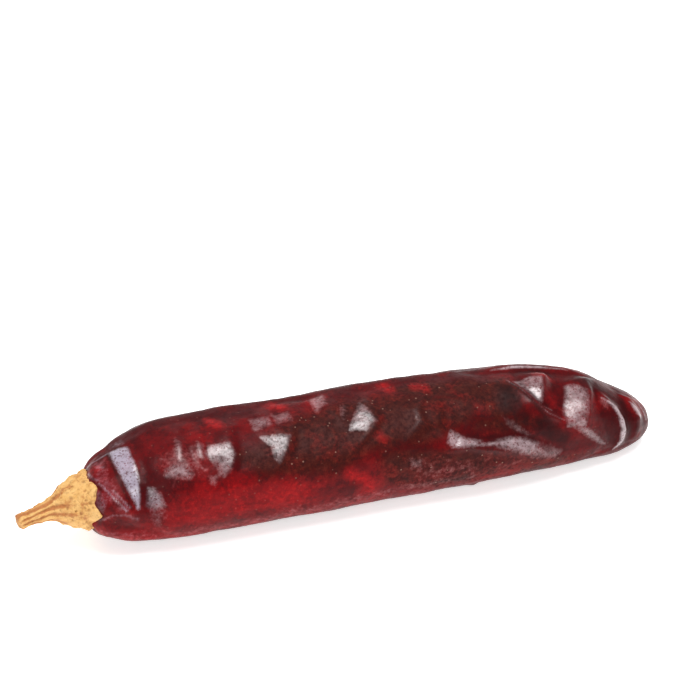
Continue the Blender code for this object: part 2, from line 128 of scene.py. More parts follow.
# The front and top of the pod, as crests and hollows that flat facets of skin run between. Each
# row is one line on the skin: mm along the pod, degrees round it, and mm above the plain skin.
SKIN_LINES = (
    ("calyx side", ((-2.6, 108, 0), (-2.6, 70, 0), (-2.4, 30, 0), (-2.2, 0, 0), (-2.4, -35, 0))),
    ("shoulder ridge", ((-0.4, 56, 0.1), (0.6, 40, 0.3), (2.8, 16, 0.3), (4.8, 2, 0.15))),
    ("shoulder crease", ((1.6, 112, -0.5), (2.2, 100, -0.65), (3, 67, -0.7), (4, 41, -0.75),
        (5.4, 18, -0.65), (6.4, 5, -0.35))),
    ("crisp shoulder edge", ((4.9, 112, -0.5), (5.6, 96, -0.7), (6.4, 84, -0.7), (6.9, 61, -0.75),
        (7, 40, -0.75), (6.8, 10, -0.45))),
    ("first valley", ((7.6, 88, -1.2), (8.2, 62, -1.35), (8.2, 46, -1.3), (7.8, 29, -1.2),
        (7.3, 10, -0.8))),
    ("pale patch edge", ((11, 30, -0.65), (11.8, 20, -0.5), (11, 4, -0.4))),
    ("first hollow", ((12.6, 86, -0.9), (12.6, 62, -1), (12.5, 46, -0.95), (13.2, 37, -0.6))),
    ("first crest", ((17.9, 88, -0.25), (17.5, 70, -0.2), (17, 55, -0.25), (18.4, 46, -0.2),
        (19.3, 36, -0.3))),
    ("behind the first crest", ((19.4, 86, -0.7), (19.2, 62, -0.8), (20.2, 47, -0.75),
        (21, 34, -0.5))),
    ("second streak", ((22.4, 76, -0.4), (22.1, 55, -0.4))),
    ("second hollow", ((23.2, 76, -0.85), (22.9, 58, -0.95), (23.8, 44, -1), (24.2, 33, -0.75))),
    ("second crest", ((28.8, 76, -0.05), (29, 62, 0.05), (29, 50, 0.05), (27.7, 38, 0),
        (25.9, 29, -0.1), (24.2, 20, -0.1))),
    ("behind the second crest", ((30.4, 76, -0.65), (30.8, 58, -0.75), (30.4, 44, -0.65),
        (28.6, 30, -0.4))),
    ("high patch hollow", ((34.8, 92, -0.6), (34.8, 76, -0.65))),
    ("high patch crest", ((39.3, 92, 0), (39.3, 77, 0))),
    ("small patch", ((40.8, 90, -0.4), (40.8, 79, -0.4), (44.3, 79, -0.05), (44.3, 90, -0.05))),
    ("third hollow", ((35.4, 67, -0.75), (36.9, 53, -0.8), (37.2, 37, -0.5), (38.4, 29, -0.1))),
    ("third crest", ((43, 63, 0.1), (41.5, 51, 0.1), (39.4, 33, 0))),
    ("behind the third crest", ((44.6, 63, -0.5), (43.6, 50, -0.5), (41.2, 35, -0.3))),
    ("top patch hollow", ((49.9, 103, -0.6), (50.1, 88, -0.6))),
    ("top patch crest", ((54, 104, 0), (53.8, 88, 0))),
    ("fourth hollow", ((59, 85, -0.55), (57.6, 70, -0.7), (56, 57, -0.75), (56, 50, -0.5))),
    ("fourth crest", ((62.2, 86, 0.1), (62.6, 76, 0.15), (63.4, 61, 0.15), (60.8, 51, 0))),
    ("behind the fourth crest", ((64.2, 84, -0.45), (65.2, 62, -0.55), (62.8, 47, -0.4))),
    ("fifth hollow", ((70.6, 67, -0.4), (70.6, 54, -0.4))),
    ("fifth crest", ((73.7, 67, 0.15), (73.5, 54, 0.15))),
    ("behind the fifth crest", ((75.2, 66, -0.3), (75, 52, -0.3))),
    ("brown wall", ((32, 20, 0), (46, 24, 0.05), (56, 28, 0), (68, 26, 0))),
    ("lower wall", ((12, -14, 0), (26, -16, 0.1), (42, -14, 0), (60, -18, 0.05), (76, -16, 0))),
    ("lowest wall", ((16, -40, 0.3), (50, -44, 0.3), (85, -40, 0.3), (112, -36, 0.2))),
    ("high wall", ((12, 102, -0.3), (24, 100, -0.4), (40, 105, -0.2), (64, 100, -0.3),
        (80, 98, -0.3))),
    ("top edge", ((12, 114, 0.3), (30, 113, 0.3), (50, 113, 0.35), (70, 111, 0.35),
        (86, 110, 0.3))),
    ("upper wall", ((80, 74, -0.2), (88, 66, -0.3), (93, 80, -0.1))),
    ("low band crest", ((75.5, 18, 0.1), (79, 16, 0.6), (81.5, 17, 0.8), (84.6, 16, 0.85),
        (88.8, 10, 0.95), (94, 4, 0.95), (100.4, -3, 0.75), (106.8, -15, 0.3))),
    ("low band foot", ((76.5, 42, -0.5), (80.4, 38, -1.1), (82.4, 31, -1.2), (84.8, 25, -1.1),
        (88.4, 20, -1), (92, 19, -1.1), (97, 18, -1.2), (101, 9, -1.1), (105, 1, -0.9),
        (109.5, -9, -0.4))),
    ("big hollow", ((84, 46, -1.1), (89, 37, -1.35), (93.5, 30, -1.45))),
    ("soft ridge in the hollow", ((92.8, 48, -0.7), (95.2, 37, -0.85), (97.6, 28, -0.95),
        (99.9, 17, -0.85))),
    ("left of the slanting fold", ((94.8, 86, 0.3), (96, 68, 0.2), (98, 52, -0.05),
        (101.3, 36, -0.5), (105.4, 23, -0.5))),
    ("slanting fold", ((96, 94, 0.1), (97.7, 84, 0.5), (99.6, 72, 0.75), (101.9, 53, 0.7),
        (105, 38, 0.45), (109.3, 26, 0.1), (112.5, 14, 0))),
    ("narrow valley", ((99, 88, 0.1), (100.6, 75, -0.35), (102.3, 62, -0.55), (104, 51, -0.6),
        (106.4, 39, -0.6), (109.4, 31, -0.5))),
    ("short bright crest", ((107, 86, 1.4), (106.2, 76, 1), (105.2, 68, 0.7), (104.2, 59, 0.3))),
    ("dark valley", ((109.4, 84, -0.7), (107.6, 66, -0.9), (106.8, 53, -0.95), (108, 40, -0.8))),
    ("flat band edge", ((112, 84, -0.7), (111.6, 69, -1.3), (109.3, 47, -1.45), (109.2, 32, -0.9))),
    ("flat band crest", ((117.4, 84, 1.2), (117.4, 66, 0.8), (115.9, 46, 0.65), (114.6, 31, 0.8),
        (115, 17, 0.5), (118.8, 3, 0.2), (121, -12, 0.05))),
    ("tip hollow", ((118.8, 74, 0.1), (118.9, 58, -0.4), (118.9, 44, -0.6), (119.8, 28, -0.65),
        (120.8, 12, -0.6), (121.2, -4, -0.35))),
    ("foot of the curved crest", ((119.5, 62, -0.2), (120.9, 50, -0.2), (122.3, 39, -0.2),
        (123.4, 24, -0.2), (123.7, 6, -0.25), (123.2, -7, -0.2), (122.2, -18, -0.1))),
    ("curved tip crest", ((119.8, 70, 0.3), (121.4, 57, 0.65), (123.2, 45, 0.85), (124.6, 27, 0.95),
        (125, 6, 0.85), (124.5, -10, 0.6), (123.4, -23, 0.3))),
    ("tip valley", ((126.4, 84, -0.3), (125.8, 56, -0.75), (126.9, 28, -0.75), (127.5, 6, -0.5),
        (126.6, -16, -0.2))),
    ("foot of the last crest", ((128.1, 68, -0.2), (128.5, 50, -0.3), (129, 30, -0.35),
        (129, 12, -0.35), (128.4, -4, -0.25))),
    ("last crest", ((128.9, 76, 0.35), (129.5, 52, 0.65), (130.1, 32, 0.7), (130.1, 12, 0.5),
        (129.4, -6, 0.2))),
    ("end of the tip", ((131.6, 82, -0.1), (132, 55, -0.3), (132.4, 30, -0.35), (132.4, 0, -0.2),
        (132, -30, 0))),
    ("back rim", ((93, 107, 0.2), (98, 108, 0.6), (107, 106, 0.7), (114, 103, 0.5),
        (122, 96, 0.1))),
    ("dark strip", ((94, 98, -0.4), (101, 98, -0.6), (109, 96, -0.6), (116, 93, -0.3))),
    ("lower lobe crease", ((1.6, -5, -0.4), (3.6, -8, -0.7), (6.6, -14, -0.6), (11, -24, -0.2))),
    ("lower lobe", ((-0.4, -22, 0.4), (3, -26, 0.4), (7, -32, 0.3))),
    ("small flake", ((84, -50, 0.2), (86, -50, 0.6), (87.4, -49, 0.9), (88.2, -49, 0.1))),
)
# The lines hold between the two middle angles, and have given way to the folds at the outer two.
LINES_REACH = (-70.0, -52.0, 114.0, 130.0)
# Facets and patches are laid out flat, with about this many mm to a degree round the pod.
ARC = 0.24
# The flat net of facets ends a little past both ends of the pod, in mm along it.
NET_ENDS = (-6.0, 137.0)
# Rounds of softening that round the facets' edges, and that find the hollows between them.
EDGE_ROUNDS = 3
HOLLOW_ROUNDS = 24
# The radius that rounds a fold's crest, in mm.
FOLD_ROUNDING = 0.35
# Gathers of the skin round the calyx: their number and depth, and how far from the stalk's seat
# they are deepest and end, in mm.
PUCKERS = 7
PUCKER_DEPTH = 0.5
PUCKER_PEAK = 7.0
PUCKER_REACH = 12.0

# Patches of the skin: strength, width of the soft edge in mm, half width in mm for a line or 0 for
# a filled patch, and the corners in mm along and degrees round the pod.
# Painted highlights and painted reflections: these patches lie where the softboxes glint off the
# facets and where the table shows along the edges. The material paints the skin pale there and gives
# it a glossy coat. Past a strength of 1 the painted highlight is brightest and chalky.
PAINTED_HIGHLIGHT_SKIN = (
    (1.5, 0.7, 0, ((2.2, 101), (4.4, 99), (6.3, 94), (6.7, 74), (6.8, 50), (6.5, 28), (6, 10),
        (5.6, 12), (3.9, 42), (2.7, 73))),
    (0.45, 1.6, 0, ((-3.2, 66), (-1.8, 50), (-0.4, 26), (-2, 10), (-3, 30))),
    (1, 0.9, 0.2, ((-1, 89), (0.3, 84))),
    (0.4, 3, 0, ((2.8, 105), (6, 101), (5.8, 112), (3.4, 115))),
    (0.32, 2.4, 0, ((-1.6, 100), (1, 96), (1.4, 57), (2.7, 27), (3.6, 13), (1.5, 13), (-1.1, 33),
        (-2.6, 62))),
    (1.1, 0.6, 0.18, ((-3.1, 112), (-0.8, 104), (1.7, 101))),
    (1, 0.6, 0.18, ((-3.4, 96), (-2.4, 73), (-1.5, 66))),
    (1.2, 0.6, 0.2, ((-1.6, 61), (0, 43), (1.7, 26), (3.4, 13))),
    (1, 0.6, 0.18, ((0.9, 44), (2.7, 27), (4.1, 16))),
    (0.5, 1.4, 0.2, ((-2.8, -1), (0.2, 9), (2.9, 8), (5.6, 0))),
    (0.8, 1.6, 0, ((8.4, 35), (9.6, 32), (10.9, 22), (11.8, 8), (9.4, 6), (7.7, 12))),
    (0.35, 2.4, 0, ((8.3, 6), (11.6, 4), (11, -15), (9.2, -13))),
    (0.28, 4, 0, ((12.5, 64), (20.5, 72), (22, 40), (14, 30))),
    (0.7, 2, 0, ((17, 80), (17.8, 76), (16.8, 50), (15.9, 53))),
    (0.95, 2.2, 0, ((13.2, 49), (15.4, 53), (17.9, 47), (18.9, 38), (17.9, 34), (15.9, 38),
        (12.9, 41))),
    (0.7, 2, 0, ((21.6, 73), (22.4, 69), (22, 54), (21, 56))),
    (0.85, 2.2, 0, ((24, 65), (28.5, 63), (28.8, 50), (27.4, 38), (25.6, 30), (24.9, 34),
        (24.7, 45), (22.5, 58))),
    (0.6, 2.2, 0, ((22.5, 32), (24.8, 32), (23.4, 22), (22.3, 26))),
    (0.9, 2.2, 0, ((35.3, 87), (39, 86), (39, 78), (35.3, 76))),
    (0.75, 2.4, 0, ((40.6, 88), (44, 88), (44, 79), (40.8, 79))),
    (0.75, 1.6, 0, ((36, 66), (42.6, 61), (41.1, 50), (38.8, 33), (37.9, 40), (38, 52))),
    (0.95, 2.2, 0, ((50.6, 101), (53.6, 103), (53.4, 92), (50.8, 87))),
    (0.4, 2.4, 0, ((56.4, 86), (58, 86), (56.1, 67), (55.4, 71))),
    (0.75, 1.6, 0, ((61, 85), (62, 77), (63.1, 60), (61.5, 59), (60.2, 52), (56.4, 57),
        (58.2, 68))),
    (0.3, 2.4, 0, ((72, 59), (73.1, 64), (73.4, 58), (72.5, 54))),
    (0.4, 2.6, 0, ((69, 13), (72, 10), (72, 2), (69.5, 4))),
    (0.22, 8, 0, ((67.9, 8), (76.5, 10), (85.1, 4), (96.6, -9), (86.6, -14), (71.7, -16))),
    (1.15, 1.2, 0, ((78.4, 24), (80.1, 37), (81.4, 33), (83.3, 25), (87, 19), (84.6, 16),
        (79.5, 18))),
    (1.2, 0.6, 0.3, ((83.5, 19.5), (86.5, 16.5), (89, 15), (92.5, 14))),
    (1.1, 1.4, 0, ((89.5, 14), (91.4, 17), (94.5, 17.5), (98, 13), (102, 4), (99.3, -2), (94.5, 5),
        (90.9, 11))),
    (0.6, 2.2, 0, ((98.5, 10), (103.1, 2), (108.5, -9), (106, -13), (99.3, -5))),
    (0.5, 2, 0, ((93.4, 44), (94.8, 41), (97.5, 27), (99.5, 16), (96.6, 22), (94.5, 32))),
    (0.9, 0.9, 0, ((99.2, 84), (103.7, 87), (106.4, 83), (105.3, 69), (104.1, 53), (102.5, 57),
        (101.2, 70))),
    (0.85, 1.3, 0, ((112, 77), (114.2, 77), (116.6, 67), (116, 50), (114.6, 29), (113.9, 17),
        (109.2, 20), (109.1, 39), (110.7, 56))),
    (0.75, 1.6, 0, ((113.9, 18), (117.6, 4), (120, -9), (115.3, 2), (111.1, 18))),
    (1.8, 0.7, 0, ((120.2, 60), (123.1, 51), (125, 35), (125.6, 13), (125.2, -6), (122.6, -24),
        (124.2, -6), (124.4, 13), (123.7, 34), (122.3, 49))),
    (1.8, 0.7, 0, ((128.8, 66), (130.2, 54), (130.9, 40), (131, 26), (129.8, 38), (129.1, 54))),
    (1.3, 0.6, 0.12, ((130.6, 96), (132.4, 72), (133.4, 44), (133.6, 18))),
    (0.5, 1.8, 0, ((119.7, 57), (122.4, 54), (120.7, 44))),
    (0.8, 0.5, 0.12, ((97.7, 85), (99.6, 73), (101.8, 53), (104.9, 38), (109.2, 27))),
    (0.7, 0.5, 0.12, ((100.2, 78), (101.7, 64), (103.2, 52), (106, 42))),
    (1.9, 0.6, 0, ((95.5, 104), (101, 106.5), (108.5, 104.5), (115, 101), (108.5, 102.5),
        (101, 104))),
    (0.3, 5, 1.2, ((-2, -18), (10, -27), (25, -29), (43, -26), (62, -21), (84, -19))),
    (0.4, 3, 0.3, ((11, 115), (21, 119), (30, 118))),
    (0.3, 3.4, 0.3, ((41, 117), (52, 121), (59, 119))),
    (0.4, 3, 0.3, ((73, 119), (84, 114), (93, 111))),
    (0.35, 4.5, 0, ((26, 150), (36, 142), (44, 152), (34, 168))),
    (0.45, 4, 0, ((60, 152), (72, 142), (70, 160), (62, 168))),
    (0.4, 4, 0, ((86, 148), (98, 140), (96, 158), (88, 162))),
    (0.45, 3.6, 0, ((106, 134), (113, 128), (112, 152), (107, 156))),
    (0.4, 3.6, 0, ((6, 140), (12, 134), (14, 160), (8, 168))),
)

# Where the skin has dried thin, the light comes through red.
THIN_SKIN = (
    (0.85, 7, 0, ((13, 4), (16, 18), (22, 26), (29, 24), (34, 8), (31, -18), (20, -22), (12, -14))),
    (0.95, 5, 0, ((32, 10), (40, 13), (47, 5), (46, -8), (38, -12), (31, -8))),
    (0.75, 6, 0, ((1, -16), (12, -20), (30, -24), (50, -22), (62, -24), (60, -38), (44, -44),
        (16, -46), (1, -36))),
    (0.25, 6, 0, ((62, -14), (80, -18), (112, -24), (112, -36), (84, -42), (62, -40))),
    (0.35, 5.5, 0, ((12, 58), (17, 30), (26, 30), (22, 60))),
    (1.3, 2.6, 0.9, ((26, 94), (27.6, 87))),
    (0.4, 4.9, 0, ((21, 88), (26, 92), (24, 70), (20, 74))),
    (1.3, 2.6, 0.9, ((41.4, 102), (43.2, 96))),
    (0.6, 3.6, 0, ((39, 86), (45, 88), (44, 78), (40, 78))),
    (0.5, 3, 0, ((50, 102), (54, 103), (53, 90), (50, 88))),
    (1.25, 2.6, 1.1, ((54.6, 10), (58, 1), (59.8, -10))),
    (0.8, 3.6, 0, ((57, -2), (62, -4), (61, -22), (56, -18))),
    (0.9, 2.6, 0.8, ((62.9, 43), (63.5, 39))),
    (1.3, 2.4, 0.8, ((68.4, 102), (69.4, 96))),
    (1.1, 2.4, 0.8, ((75.6, 93), (77.6, 90))),
    (0.45, 3.3, 0, ((87.5, 62), (91, 62), (90, 50), (87.5, 52))),
    (0.6, 3.6, 0, ((96.5, 56), (101.5, 53), (100.2, 40), (96.5, 43))),
    (1.1, 2.4, 0.8, ((106.2, 91), (108.4, 87))),
    (0.65, 2.4, 0.7, ((107.1, 62), (106.5, 50))),
    (0.8, 2.6, 0, ((108.8, 44), (110.4, 42), (110.4, 26), (108.6, 28))),
    (0.8, 3.1, 0, ((117.8, 62), (121.6, 68), (120.6, 48), (118, 38))),
    (0.5, 3.6, 0, ((126, 76), (131, 76), (132.5, 40), (130.8, 38))),
    (1.3, 1.6, 0, ((-1.6, 93), (0, 90), (-0.2, 80), (-1.8, 82))),
    (0.45, 3, 0, ((-3.4, 96), (1, 94), (2.2, 50), (5, 8), (-2, 6), (-2.4, 50))),
    (0.8, 3.6, 0, ((-3.6, -10), (-1.6, -12), (-1, -34), (-3.4, -44))),
    (0.5, 4.9, 0, ((88, -14), (104, -16), (100, -32), (84, -30))),
    (0.2, 5, 0, ((66, 6), (84, 4), (98, -8), (94, -22), (70, -20))),
    (0.6, 6.2, 0, ((34, 176), (58, 184), (52, 204), (34, 196))),
    (0.6, 6.2, 0, ((76, 198), (102, 196), (98, 216), (76, 214))),
    (0.5, 4.9, 0, ((60, 150), (72, 150), (72, 166), (60, 164))),
    (0.5, 4.9, 0, ((108, 140), (116, 140), (116, 160), (108, 160))),
)

# Where the skin has weathered, it is dull, brown and finely speckled.
WEATHERED_SKIN = (
    (0.9, 6, 0, ((30, 48), (34, 24), (52, 16), (60, 30), (76, 30), (84, 44), (90, 66), (78, 82),
        (58, 90), (46, 80), (40, 66))),
    (0.75, 5, 0, ((62, 26), (84, 14), (100, -6), (116, -22), (98, -34), (74, -30), (63, -8))),
    (0.55, 4, 0, ((86, 50), (98, 44), (104, 28), (96, 22), (86, 32))),
    (0.8, 4, 0, ((70, 96), (84, 94), (97, 88), (99, 72), (97, 40), (92, 40), (86, 66), (72, 84))),
    (0.5, 5, 0, ((32, 110), (90, 112), (90, 128), (32, 128))),
    (0.7, 6, 0, ((22, 148), (50, 140), (52, 168), (24, 172))),
    (0.7, 6, 0, ((66, 168), (96, 164), (96, 192), (66, 190))),
    (0.6, 5, 0, ((100, 178), (118, 176), (116, 202), (100, 204))),
)

# Painted shade: along these folds, and just outside the calyx's rim, the skin is painted darkest.
PAINTED_SHADE_SKIN = (
    (1, 1.2, 0.5, ((98.3, 79), (99.6, 69), (101, 55), (102.9, 42), (105.3, 26), (107.4, 16))),
    (0.9, 1.8, 0, ((100.5, 36), (103.7, 38), (107.1, 20), (110.3, 9), (109.3, -3), (104.9, 1),
        (101.3, 17))),
    (1, 2.5, 0, ((95.1, 77), (97.7, 78), (99.1, 58), (101.2, 39), (99.5, 30), (96.1, 39),
        (93.3, 57))),
    (0.6, 1, 0, ((126, 75), (127.6, 73), (128, 47), (127.9, 17), (127, -3), (126.4, 11),
        (126.3, 41))),
    (0.5, 1.6, 0, ((113.7, 94), (119.7, 90), (125.6, 79), (123.7, 65), (118.3, 74), (112.5, 83))),
    (1, 0.6, 0.22, ((1.9, 101), (2.2, 72), (3.1, 42), (4.5, 13))),
    (0.85, 0.8, 0.2, ((-3.2, 88), (-2.5, 70), (-1.5, 51), (-2.2, 39), (-2.7, 29), (-2.3, 18),
        (-1.4, 9), (-2.6, -1), (-3.1, -15))),
    (0.5, 1.6, 0, ((101.7, 8), (109.7, 6), (115.4, -5), (110, -11), (103.2, -4))),
)

# The calyx and stalk, in mm. The outline runs from the cut end's centre to the calyx's rim and
# back under it: distance from the cut end along the stalk, radius, and how far it follows the rim.
STALK_LENGTH = 16.6
STALK_SEAT = (-3.4, -1.8, 10.4)
STALK_LEAN_Y = -2.4
STALK_LEAN_Z = -0.95
STALK_OUTLINE = (
    (0.0, 0.0, 0.0),
    (0.1, 0.9, 0.0),
    (0.0, 1.4, 0.0),
    (0.3, 1.75, 0.0),
    (2.0, 1.85, 0.0),
    (4.5, 2.15, 0.0),
    (7.1, 2.5, 0.0),
    (9.0, 3.4, 0.0),
    (10.4, 4.4, 0.02),
    (11.8, 5.2, 0.08),
    (13.4, 5.8, 0.22),
    (14.8, 6.2, 0.5),
    (15.8, 6.6, 0.85),
    (16.2, 6.8, 1.0),
    (16.6, 6.6, 1.0),
    (17.3, 5.6, 0.7),
    (18.4, 3.0, 0.0),
    (18.5, 0.0, 0.0),
)
# Distance of the rim from the cut end, and how far its edge is tucked in, in mm.
RIM_REACH = 16.2
RIM_TUCK = 0.35
# Heights of the rim's rags and fringe, of the cap's lumps and of the stalk's fibres, in mm.
RAGS = 0.16
FRINGE = 0.1
LUMPS = 0.3
FIBRES = 0.05
# Where the cap begins, in mm from the cut end.
CAP_START = 7.5

# The calyx's ragged rim, where it lies on the pod's shoulder: degrees round the stalk, radius, and
# place along the pod.
RIM = (
    (-80, 6.6, -3.7),
    (-64, 6.2, -3.8),
    (-40, 6.6, -3.8),
    (-15, 6.8, -3.7),
    (-1, 7.8, -3.2),
    (9, 9.0, -2.0),
    (18, 8.1, -2.9),
    (29, 7.5, -3.3),
    (39, 8.1, -2.8),
    (51, 8.6, -2.1),
    (70, 7.2, -3.1),
    (88, 6.2, -3.6),
    (103, 6.0, -3.8),
    (122, 7.4, -3.2),
    (143, 6.3, -3.6),
    (162, 7.8, -3.0),
    (185, 6.5, -3.6),
    (208, 8.0, -3.0),
    (232, 6.5, -3.6),
    (255, 7.4, -3.3),
)

# Grooves along the stalk: degrees round it, half width in degrees, and depth in mm.
STALK_GROOVES = (
    (78, 16, 0.30),
    (36, 13, 0.34),
    (4, 15, 0.30),
    (-38, 16, 0.28),
    (130, 18, 0.30),
    (185, 16, 0.26),
    (235, 18, 0.30),
)
# How far a groove wanders off its line, in degrees.
GROOVE_BEND = 5

# Pits in the cap: their number, their smallest and largest radius and depth in mm, and how dark
# their bottoms are.
PITS = 90
PIT_RADII = (0.3, 0.65)
PIT_DENT = 0.3
PIT_DARKNESS = 0.65
PIT_SEED = 7

# How much painted shade darkens the top of the stalk, and how much darker its cut end is.
TOP_PAINTED_SHADE = 0.45
END_DARKNESS = 0.4

# The middle of the pepper, which the camera turns round, and the small step to the right that
# frames it, in metres.
MIDDLE = Vector((0.0004, -0.0007, 0.010))
SIDESTEP = 0.0012


def linear(hex_colour):
    """The linear colour of an sRGB hex value such as #3B0B0F, with alpha 1."""
    shares = [int(hex_colour[i : i + 2], 16) / 255 for i in (1, 3, 5)]
    return (*(c / 12.92 if c <= 0.04045 else ((c + 0.055) / 1.055) ** 2.4 for c in shares), 1.0)


def colour_setting(name, hex_colour, description):
    """A colour property whose default is an sRGB hex value."""
    return bpy.props.FloatVectorProperty(
        name=name,
        description=description,
        subtype="COLOR",
        size=4,
        min=0.0,
        max=1.0,
        default=linear(hex_colour),
    )


def number_setting(name, value, description, unit="LENGTH"):
    """A number property: a length in metres, or a number of another unit."""
    return bpy.props.FloatProperty(
        name=name, description=description, default=value, unit=unit, precision=5
    )


class PodSettings(bpy.types.PropertyGroup):
    """Sizes and colours of the pod's skin."""

    sides: bpy.props.IntProperty(
        name="Sides", description="Faces round the pod", default=240, min=24
    )
    rings: bpy.props.IntProperty(
        name="Rings", description="Faces along the pod", default=400, min=40
    )
    swell_depth: number_setting("Swell depth", 0.0005, "Height of the broad swells of the wall")
    swell_size: number_setting("Swell size", 0.011, "Length of the broad swells of the wall")
    crumple_depth: number_setting("Crumple depth", 0.00022, "Height of the skin's small crumples")
    crumple_size: number_setting("Crumple size", 0.0032, "Length of the skin's small crumples")
    # Colours of the painted highlights: pale lilac-grey, and cooler at the calyx end.
    lifted: colour_setting("Lifted cuticle", "#BEA9AE", "Cuticle that has lifted off the flesh")
    cool_highlight: colour_setting("Cool cuticle", "#AFA6B8", "Lifted cuticle at the calyx end")
    maroon: colour_setting("Maroon", "#42060A", "Skin where it is thick")
    red: colour_setting("Red", "#6C080D", "Skin where it is thinner")
    thin_red: colour_setting("Thin red", "#8E0B10", "Skin where it has dried thin")
    spark: colour_setting("Spark", "#B41A16", "Thinnest specks of the thin skin")
    brown: colour_setting("Brown", "#3B0F0B", "Dull, weathered skin")
    speck: colour_setting("Speck", "#1E0709", "Dark specks in the skin")
    speckle: colour_setting("Speckle", "#5E2C20", "Tan specks of the weathered skin")
    dot: colour_setting("Dot", "#8E6A5C", "Corky dots")
    # The colour of the painted shade in the bottoms of the creases and along the shaded folds.
    crease: colour_setting("Crease", "#1C0607", "Skin in the bottoms of the creases")


class CalyxSettings(bpy.types.PropertyGroup):
    """Sizes and colours of the calyx and stalk."""

    sides: bpy.props.IntProperty(
        name="Sides", description="Faces round the stalk", default=180, min=24
    )
    rings: bpy.props.IntProperty(
        name="Rings", description="Faces along the stalk", default=220, min=40
    )
    pit_depth: number_setting("Pit depth", 0.0006, "Depth of the pits in the calyx")
    pit_size: number_setting("Pit size", 0.0013, "Size of the pits in the calyx")
    straw: colour_setting("Straw", "#CE9A52", "Dry fibre")
    pale_straw: colour_setting("Pale straw", "#DDB06E", "Dry fibre where it is worn")
    rust: colour_setting("Rust", "#A45E2A", "Grooves between the fibres")
    pit: colour_setting("Pit", "#8E5A2C", "Bottoms of the pits")


class StageSettings(bpy.types.PropertyGroup):
    """The table, the lights and the camera."""

    table: colour_setting("Table", "#F6F6F6", "Opal acrylic table top")
    table_glow: number_setting("Table glow", 0.65, "Brightness of the table's own light", "NONE")
    room_light: number_setting("Room light", 0.40, "Brightness of the white studio", "NONE")
    light_power: number_setting("Light power", 12.8, "Power of the softbox overhead", "POWER")
    fill_power: number_setting("Fill power", 1.8, "Power of the softbox at the left", "POWER")
    rim_power: number_setting("Rim power", 1.0, "Power of the softbox behind", "POWER")
    light_height: number_setting("Light height", 1.1, "Height of the softbox over the table")
    azimuth: number_setting(
        "Azimuth", math.radians(-17.0), "Turn of the camera, from straight in front", "ROTATION"
    )
    elevation: number_setting(
        "Elevation", math.radians(34.0), "Angle of the camera above the table", "ROTATION"
    )
    distance: number_setting("Distance", 0.4592, "Distance of the camera from the pepper's middle")
    drop: number_setting("Drop", 0.0243, "How far the pepper lies below the picture's middle")
    lens: number_setting("Lens", 100.0, "Focal length of the camera in mm", "CAMERA")


def smooth_through(rows, shares):
    """Points on a smooth curve through the rows, at shares (0 to 1) of the curve's length."""
    rows = np.array(rows, float)
    steps = np.linalg.norm(np.diff(rows[:, :3], axis=0), axis=1)
    knots = np.concatenate([[0.0], np.cumsum(steps)])
    slopes = np.gradient(rows, knots, axis=0)
    at = np.clip(shares, 0.0, 1.0) * knots[-1]
    i = np.clip(np.searchsorted(knots, at, side="right") - 1, 0, len(knots) - 2)
    gap = (knots[i + 1] - knots[i])[:, None]
    t = (at[:, None] - knots[i][:, None]) / gap
    start, end = rows[i], rows[i + 1]
    leave, arrive = slopes[i] * gap, slopes[i + 1] * gap
    return (
        (2 * t**3 - 3 * t**2 + 1) * start
        + (t**3 - 2 * t**2 + t) * leave
        + (3 * t**2 - 2 * t**3) * end
        + (t**3 - t**2) * arrive
    )


def pod_skin(shares, angles):
    """Points of the pod's unwrinkled skin in mm, at shares of its outline and angles round it."""
    x, depth, height, y, z = smooth_through(POD_SECTIONS, shares).T
    power = 2.0 / SQUARENESS
    across = np.sign(np.cos(angles)) * np.abs(np.cos(angles)) ** power
    up = np.sign(np.sin(angles)) * np.abs(np.sin(angles)) ** power
    y = y - np.maximum(depth, 0) * across
    return np.stack([x, y, z + np.maximum(height, 0) * up], axis=1)


def share_at(along):
    """The share of the pod's outline at a place along the pod in mm."""
    shares = np.linspace(0.0, 1.0, 600)
    return np.interp(along, smooth_through(POD_SECTIONS, shares)[:, 0], shares)


def skin_at(along, degrees):
    """Points of the unwrinkled skin at places given in mm along the pod and degrees round it."""
    return pod_skin(share_at(np.array(along, float)), np.radians(np.array(degrees, float)))


def skin_normals(shares, angles):
    """Outward directions of the unwrinkled skin."""
    small = 1e-3
    before, after = np.maximum(shares - small, 0), np.minimum(shares + small, 1)
    along = pod_skin(after, angles) - pod_skin(before, angles)
    round_it = pod_skin(shares, angles + small) - pod_skin(shares, angles - small)
    normals = np.cross(along, round_it)
    length = np.linalg.norm(normals, axis=1, keepdims=True)
    normals = normals / np.maximum(length, 1e-12)
    normals[shares < 2 * small] = (-1.0, 0.0, 0.0)
    normals[shares > 1 - 2 * small] = (1.0, 0.0, 0.0)
    return normals


